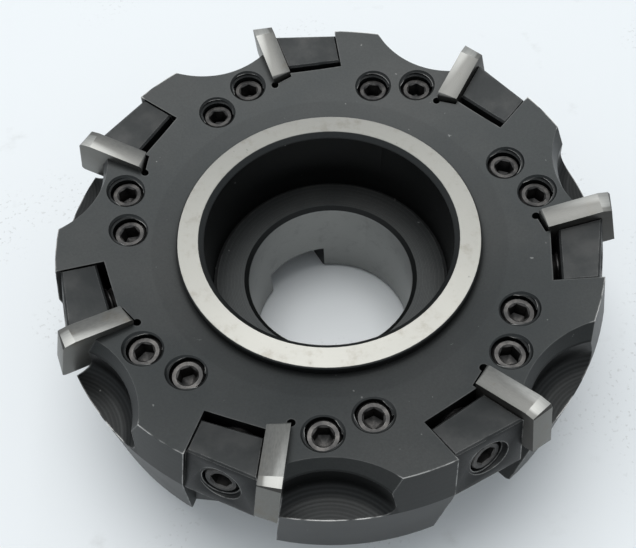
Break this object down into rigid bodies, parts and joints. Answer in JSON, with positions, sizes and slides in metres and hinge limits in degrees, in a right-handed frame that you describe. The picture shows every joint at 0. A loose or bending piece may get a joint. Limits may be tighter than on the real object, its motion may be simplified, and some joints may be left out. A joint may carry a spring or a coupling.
{
  "type": "face mill",
  "caption": "Shell-type face mill: slotted round cutter body with a ground ring, chip gullets and replaceable inserts, each held by a screwed wedge; arbor bore and drive slot.",
  "frame": {"origin": "centre of the arbor bore on the back face that seats on the arbor's flange", "axes": "+Z along the cutter axis, out of the cutting face; X and Y across, with tooth 1's outer face screw at 59.5 degrees from +X"},
  "size_m": [0.1293, 0.1288, 0.0514],
  "materials": {
    "black_oxide_steel": "turned and milled alloy steel, black-oxide finish, ground ring on the face",
    "ground_carbide": "uncoated cemented carbide, ground on all sides",
    "hardened_wedge_steel": "hardened steel, dull black oxide",
    "screw_steel": "black-oxide socket set screws"
  },
  "bodies": {
    "root": {"cutter_body": "black_oxide_steel", "insert_1": "ground_carbide", "insert_2": "ground_carbide", "insert_3": "ground_carbide", "insert_4": "ground_carbide", "insert_5": "ground_carbide", "insert_6": "ground_carbide", "insert_7": "ground_carbide"},
    "wedge_1": {"clamping_wedge_1": "hardened_wedge_steel"},
    "wedge_screw_1": {"wedge_screw_1": "screw_steel"},
    "outer_face_screw_1": {"outer_face_screw_1": "screw_steel"},
    "inner_face_screw_1": {"inner_face_screw_1": "screw_steel"},
    "wedge_2": {"clamping_wedge_2": "hardened_wedge_steel"},
    "wedge_screw_2": {"wedge_screw_2": "screw_steel"},
    "outer_face_screw_2": {"outer_face_screw_2": "screw_steel"},
    "inner_face_screw_2": {"inner_face_screw_2": "screw_steel"},
    "wedge_3": {"clamping_wedge_3": "hardened_wedge_steel"},
    "wedge_screw_3": {"wedge_screw_3": "screw_steel"},
    "outer_face_screw_3": {"outer_face_screw_3": "screw_steel"},
    "inner_face_screw_3": {"inner_face_screw_3": "screw_steel"},
    "wedge_4": {"clamping_wedge_4": "hardened_wedge_steel"},
    "wedge_screw_4": {"wedge_screw_4": "screw_steel"},
    "outer_face_screw_4": {"outer_face_screw_4": "screw_steel"},
    "inner_face_screw_4": {"inner_face_screw_4": "screw_steel"},
    "wedge_5": {"clamping_wedge_5": "hardened_wedge_steel"},
    "wedge_screw_5": {"wedge_screw_5": "screw_steel"},
    "outer_face_screw_5": {"outer_face_screw_5": "screw_steel"},
    "inner_face_screw_5": {"inner_face_screw_5": "screw_steel"},
    "wedge_6": {"clamping_wedge_6": "hardened_wedge_steel"},
    "wedge_screw_6": {"wedge_screw_6": "screw_steel"},
    "outer_face_screw_6": {"outer_face_screw_6": "screw_steel"},
    "inner_face_screw_6": {"inner_face_screw_6": "screw_steel"},
    "wedge_7": {"clamping_wedge_7": "hardened_wedge_steel"},
    "wedge_screw_7": {"wedge_screw_7": "screw_steel"},
    "outer_face_screw_7": {"outer_face_screw_7": "screw_steel"},
    "inner_face_screw_7": {"inner_face_screw_7": "screw_steel"}
  },
  "joints": [
    {"name": "wedge_screw_1_turn", "type": "hinge", "parent": "root", "child": "wedge_screw_1", "pos_m": [0.04692, 0.03962, 0.042], "axis": [0.6947, 0.6796, 0.2356], "range_deg": [0, 450]},
    {"name": "wedge_1_slide", "type": "slide", "parent": "root", "child": "wedge_1", "axis": [0.6947, 0.6796, 0.2356], "range_m": [0, 0.0031]},
    {"name": "outer_face_screw_1_turn", "type": "hinge", "parent": "root", "child": "outer_face_screw_1", "pos_m": [0.02489, 0.04225, 0.04649], "axis": [0, 0, 1], "range_deg": [0, 360]},
    {"name": "inner_face_screw_1_turn", "type": "hinge", "parent": "root", "child": "inner_face_screw_1", "pos_m": [0.01405, 0.04362, 0.04581], "axis": [0, 0, 1], "range_deg": [0, 360]},
    {"name": "wedge_screw_2_turn", "type": "hinge", "parent": "root", "child": "wedge_screw_2", "pos_m": [0.06023, -0.01198, 0.042], "axis": [0.9645, -0.1194, 0.2356], "range_deg": [0, 450]},
    {"name": "wedge_2_slide", "type": "slide", "parent": "root", "child": "wedge_2", "axis": [0.9645, -0.1194, 0.2356], "range_m": [0, 0.0031]},
    {"name": "outer_face_screw_2_turn", "type": "hinge", "parent": "root", "child": "outer_face_screw_2", "pos_m": [0.04855, 0.00689, 0.04649], "axis": [0, 0, 1], "range_deg": [0, 360]},
    {"name": "inner_face_screw_2_turn", "type": "hinge", "parent": "root", "child": "inner_face_screw_2", "pos_m": [0.04287, 0.01622, 0.04581], "axis": [0, 0, 1], "range_deg": [0, 360]},
    {"name": "wedge_screw_3_turn", "type": "hinge", "parent": "root", "child": "wedge_screw_3", "pos_m": [0.02818, -0.05456, 0.042], "axis": [0.508, -0.8285, 0.2356], "range_deg": [0, 450]},
    {"name": "wedge_3_slide", "type": "slide", "parent": "root", "child": "wedge_3", "axis": [0.508, -0.8285, 0.2356], "range_m": [0, 0.0031]},
    {"name": "outer_face_screw_3_turn", "type": "hinge", "parent": "root", "child": "outer_face_screw_3", "pos_m": [0.03566, -0.03367, 0.04649], "axis": [0, 0, 1], "range_deg": [0, 360]},
    {"name": "inner_face_screw_3_turn", "type": "hinge", "parent": "root", "child": "inner_face_screw_3", "pos_m": [0.0394, -0.0234, 0.04581], "axis": [0, 0, 1], "range_deg": [0, 360]},
    {"name": "wedge_screw_4_turn", "type": "hinge", "parent": "root", "child": "wedge_screw_4", "pos_m": [-0.02508, -0.05605, 0.042], "axis": [-0.3311, -0.9137, 0.2356], "range_deg": [0, 450]},
    {"name": "wedge_4_slide", "type": "slide", "parent": "root", "child": "wedge_4", "axis": [-0.3311, -0.9137, 0.2356], "range_m": [0, 0.0031]},
    {"name": "outer_face_screw_4_turn", "type": "hinge", "parent": "root", "child": "outer_face_screw_4", "pos_m": [-0.00409, -0.04887, 0.04649], "axis": [0, 0, 1], "range_deg": [0, 360]},
    {"name": "inner_face_screw_4_turn", "type": "hinge", "parent": "root", "child": "inner_face_screw_4", "pos_m": [0.00627, -0.0454, 0.04581], "axis": [0, 0, 1], "range_deg": [0, 360]},
    {"name": "wedge_screw_5_turn", "type": "hinge", "parent": "root", "child": "wedge_screw_5", "pos_m": [-0.05946, -0.01534, 0.042], "axis": [-0.9208, -0.3109, 0.2356], "range_deg": [0, 450]},
    {"name": "wedge_5_slide", "type": "slide", "parent": "root", "child": "wedge_5", "axis": [-0.9208, -0.3109, 0.2356], "range_m": [0, 0.0031]},
    {"name": "outer_face_screw_5_turn", "type": "hinge", "parent": "root", "child": "outer_face_screw_5", "pos_m": [-0.04076, -0.02727, 0.04649], "axis": [0, 0, 1], "range_deg": [0, 360]},
    {"name": "inner_face_screw_5_turn", "type": "hinge", "parent": "root", "child": "inner_face_screw_5", "pos_m": [-0.03158, -0.03321, 0.04581], "axis": [0, 0, 1], "range_deg": [0, 360]},
    {"name": "wedge_screw_6_turn", "type": "hinge", "parent": "root", "child": "wedge_screw_6", "pos_m": [-0.04907, 0.03693, 0.042], "axis": [-0.8171, 0.5261, 0.2356], "range_deg": [0, 450]},
    {"name": "wedge_6_slide", "type": "slide", "parent": "root", "child": "wedge_6", "axis": [-0.8171, 0.5261, 0.2356], "range_m": [0, 0.0031]},
    {"name": "outer_face_screw_6_turn", "type": "hinge", "parent": "root", "child": "outer_face_screw_6", "pos_m": [-0.04673, 0.01486, 0.04649], "axis": [0, 0, 1], "range_deg": [0, 360]},
    {"name": "inner_face_screw_6_turn", "type": "hinge", "parent": "root", "child": "inner_face_screw_6", "pos_m": [-0.04566, 0.00399, 0.04581], "axis": [0, 0, 1], "range_deg": [0, 360]},
    {"name": "wedge_screw_7_turn", "type": "hinge", "parent": "root", "child": "wedge_screw_7", "pos_m": [-0.00172, 0.06138, 0.042], "axis": [-0.0982, 0.9669, 0.2356], "range_deg": [0, 450]},
    {"name": "wedge_7_slide", "type": "slide", "parent": "root", "child": "wedge_7", "axis": [-0.0982, 0.9669, 0.2356], "range_m": [0, 0.0031]},
    {"name": "outer_face_screw_7_turn", "type": "hinge", "parent": "root", "child": "outer_face_screw_7", "pos_m": [-0.01752, 0.0458, 0.04649], "axis": [0, 0, 1], "range_deg": [0, 360]},
    {"name": "inner_face_screw_7_turn", "type": "hinge", "parent": "root", "child": "inner_face_screw_7", "pos_m": [-0.02535, 0.03818, 0.04581], "axis": [0, 0, 1], "range_deg": [0, 360]}
  ],
  "couplings": [
    {"joint": "wedge_screw_1_turn", "follows": "wedge_1_slide", "rad_per_m": 2513.3},
    {"joint": "wedge_screw_2_turn", "follows": "wedge_2_slide", "rad_per_m": 2513.3},
    {"joint": "wedge_screw_3_turn", "follows": "wedge_3_slide", "rad_per_m": 2513.3},
    {"joint": "wedge_screw_4_turn", "follows": "wedge_4_slide", "rad_per_m": 2513.3},
    {"joint": "wedge_screw_5_turn", "follows": "wedge_5_slide", "rad_per_m": 2513.3},
    {"joint": "wedge_screw_6_turn", "follows": "wedge_6_slide", "rad_per_m": 2513.3},
    {"joint": "wedge_screw_7_turn", "follows": "wedge_7_slide", "rad_per_m": 2513.3}
  ]
}
